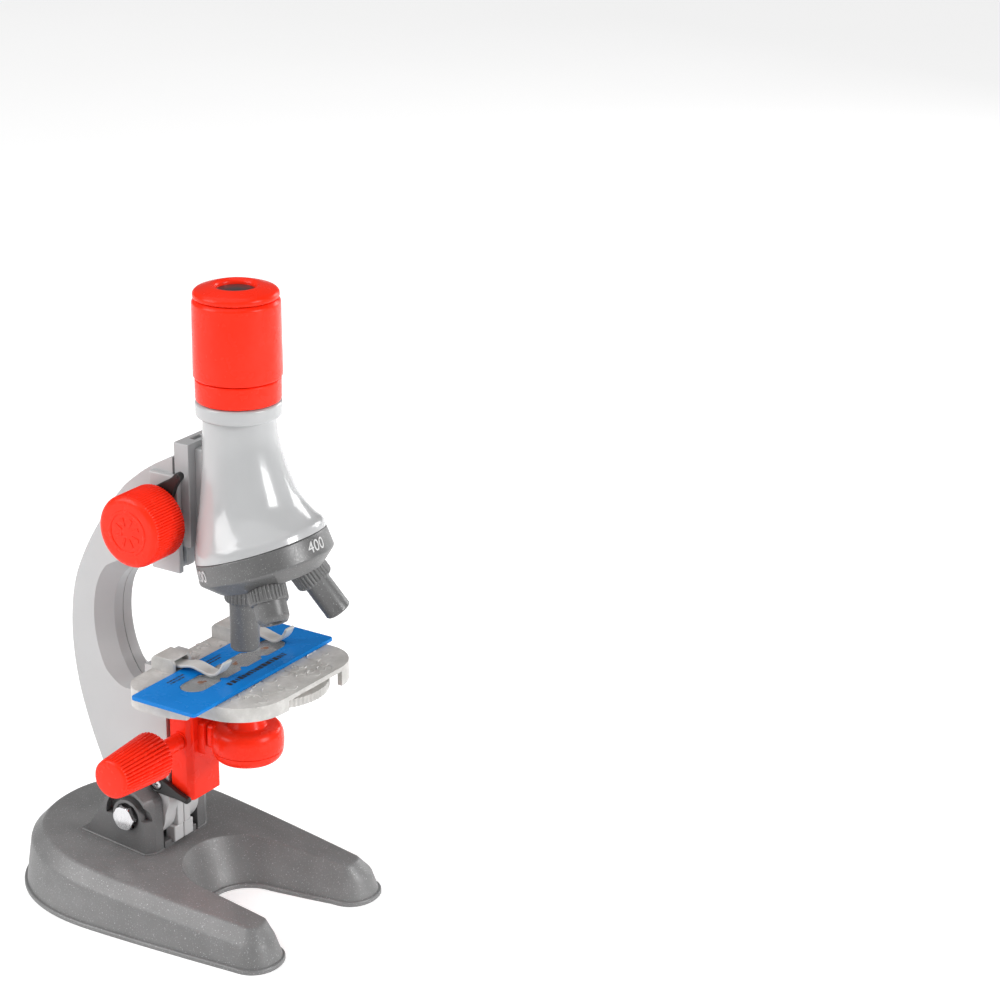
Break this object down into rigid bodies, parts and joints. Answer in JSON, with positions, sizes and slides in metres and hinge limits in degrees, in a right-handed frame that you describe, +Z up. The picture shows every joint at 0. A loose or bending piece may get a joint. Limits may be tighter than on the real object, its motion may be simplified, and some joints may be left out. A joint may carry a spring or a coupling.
{
  "type": "kids microscope",
  "caption": "Toy desk microscope with a tilting arm, rack focusing tube, revolving objective turret, slide stage and a height-adjustable turn-over lamp and mirror.",
  "frame": {"origin": "middle of the base's footprint, on the surface that the microscope stands on", "axes": "+Z up along the body tube, -Y to the front where the stage and turret are, -X to the side of the lamp knob"},
  "size_m": [0.0874, 0.1198, 0.2219],
  "materials": {
    "base_grey": "dark grey plastic with fine metallic flecks",
    "arm_grey": "satin light grey plastic",
    "tube_grey": "glossy light grey plastic",
    "stage_grey": "pearly warm grey plastic with fine relief",
    "clip_grey": "light grey plastic",
    "red_plastic": "semi-gloss red plastic",
    "black_plastic": "black plastic",
    "blue_slide": "glossy blue plastic with black printed marks",
    "clear_plastic": "clear plastic",
    "chrome": "bright plated steel",
    "steel": "plain steel",
    "mirror": "mirror"
  },
  "bodies": {
    "base": {"base_shell": "base_grey", "base_bottom_cover": "base_grey", "base_cover_screw_front_left": "steel", "base_cover_screw_front_right": "steel", "base_cover_screw_rear": "steel", "tilt_bolt": "chrome", "tilt_nut": "chrome"},
    "arm": {"arm_left_shell": "arm_grey", "arm_right_shell": "arm_grey", "arm_screw_upper": "steel", "arm_screw_lower": "steel", "lamp_rack": "arm_grey", "stage_plate": "stage_grey", "wheel_pivot_screw": "steel", "upper_lever_screw": "steel", "lower_lever_screw": "steel"},
    "tube": {"body_tube": "tube_grey", "focus_slide": "tube_grey", "focus_rack": "tube_grey", "tube_collar": "tube_grey", "eyepiece_seat": "red_plastic", "field_lens": "clear_plastic", "nose_plate": "base_grey", "turret_pivot_screw": "steel"},
    "eyepiece": {"eyepiece_barrel": "red_plastic", "eyepiece_cap": "red_plastic", "eye_lens": "clear_plastic", "eye_lens_ring": "base_grey"},
    "turret": {"turret_disc": "base_grey", "objective_high": "base_grey", "objective_medium": "base_grey", "objective_low": "base_grey", "objective_high_lens": "clear_plastic", "objective_medium_lens": "clear_plastic", "objective_low_lens": "clear_plastic"},
    "focus_drive": {"focus_shaft": "steel", "focus_pinion": "base_grey", "focus_knob_left": "red_plastic", "focus_knob_right": "red_plastic"},
    "carriage": {"lamp_carriage": "red_plastic"},
    "lamp_drive": {"lamp_knob": "red_plastic", "lamp_pinion_shaft": "red_plastic"},
    "lamp": {"lamp_housing": "red_plastic", "lamp_bezel": "red_plastic", "lamp_mirror": "mirror", "lamp_cell": "steel", "lamp_led": "clear_plastic", "lamp_led_lead": "steel"},
    "condenser": {"condenser_wheel": "stage_grey"},
    "clip_left": {"stage_clip_left": "clip_grey"},
    "clip_right": {"stage_clip_right": "clip_grey"},
    "slide": {"specimen_slide": "blue_slide", "slide_window": "clear_plastic"},
    "lever_low": {"lower_lever": "black_plastic"},
    "lever_top": {"upper_lever": "black_plastic"}
  },
  "joints": [
    {"name": "arm_tilt", "type": "hinge", "parent": "base", "child": "arm", "pos_m": [0, 0.012, 0.031], "axis": [-1, 0, 0], "range_deg": [0, 35]},
    {"name": "tube_focus", "type": "slide", "parent": "arm", "child": "tube", "axis": [0, 0, 1], "range_m": [-0.004, 0.014]},
    {"name": "eyepiece_draw", "type": "slide", "parent": "tube", "child": "eyepiece", "axis": [0, 0, 1], "range_m": [0, 0.01]},
    {"name": "turret_turn", "type": "hinge", "parent": "tube", "child": "turret", "pos_m": [0, -0.03611, 0.13403], "axis": [0, -0.342, -0.9397], "continuous": true},
    {"name": "focus_knob_turn", "type": "hinge", "parent": "arm", "child": "focus_drive", "pos_m": [0, -0.004, 0.142], "axis": [1, 0, 0], "range_deg": [-200, 62]},
    {"name": "condenser_wheel_turn", "type": "hinge", "parent": "arm", "child": "condenser", "pos_m": [0.012, -0.03, 0.08], "axis": [0, 0, 1], "continuous": true},
    {"name": "clip_left_lift", "type": "hinge", "parent": "arm", "child": "clip_left", "pos_m": [-0.0107, -0.003, 0.0908], "axis": [-1, 0, 0], "range_deg": [0, 7], "stiffness_Nm_per_rad": 0.02},
    {"name": "clip_right_lift", "type": "hinge", "parent": "arm", "child": "clip_right", "pos_m": [0.0235, -0.003, 0.0908], "axis": [-1, 0, 0], "range_deg": [0, 7], "stiffness_Nm_per_rad": 0.02},
    {"name": "specimen_slide_shift", "type": "slide", "parent": "arm", "child": "slide", "axis": [1, 0, 0], "range_m": [-0.012, 0.012]},
    {"name": "lamp_height", "type": "slide", "parent": "arm", "child": "carriage", "axis": [0, 0, 1], "range_m": [-0.009, 0]},
    {"name": "lamp_knob_turn", "type": "hinge", "parent": "carriage", "child": "lamp_drive", "pos_m": [0, -0.0058, 0.061], "axis": [1, 0, 0], "range_deg": [0, 210]},
    {"name": "lamp_turnover", "type": "hinge", "parent": "carriage", "child": "lamp", "pos_m": [0, -0.015, 0.062], "axis": [0, 1, 0], "range_deg": [0, 180]},
    {"name": "lower_lever_swing", "type": "hinge", "parent": "arm", "child": "lever_low", "pos_m": [-0.0093, 0.0032, 0.0434], "axis": [1, 0, 0], "range_deg": [0, 48]},
    {"name": "upper_lever_swing", "type": "hinge", "parent": "arm", "child": "lever_top", "pos_m": [-0.0113, -0.005, 0.1498], "axis": [1, 0, 0], "range_deg": [-40, 25]}
  ],
  "couplings": [
    {"joint": "focus_knob_turn", "follows": "tube_focus", "rad_per_m": -243.9},
    {"joint": "lamp_knob_turn", "follows": "lamp_height", "rad_per_m": -400}
  ]
}
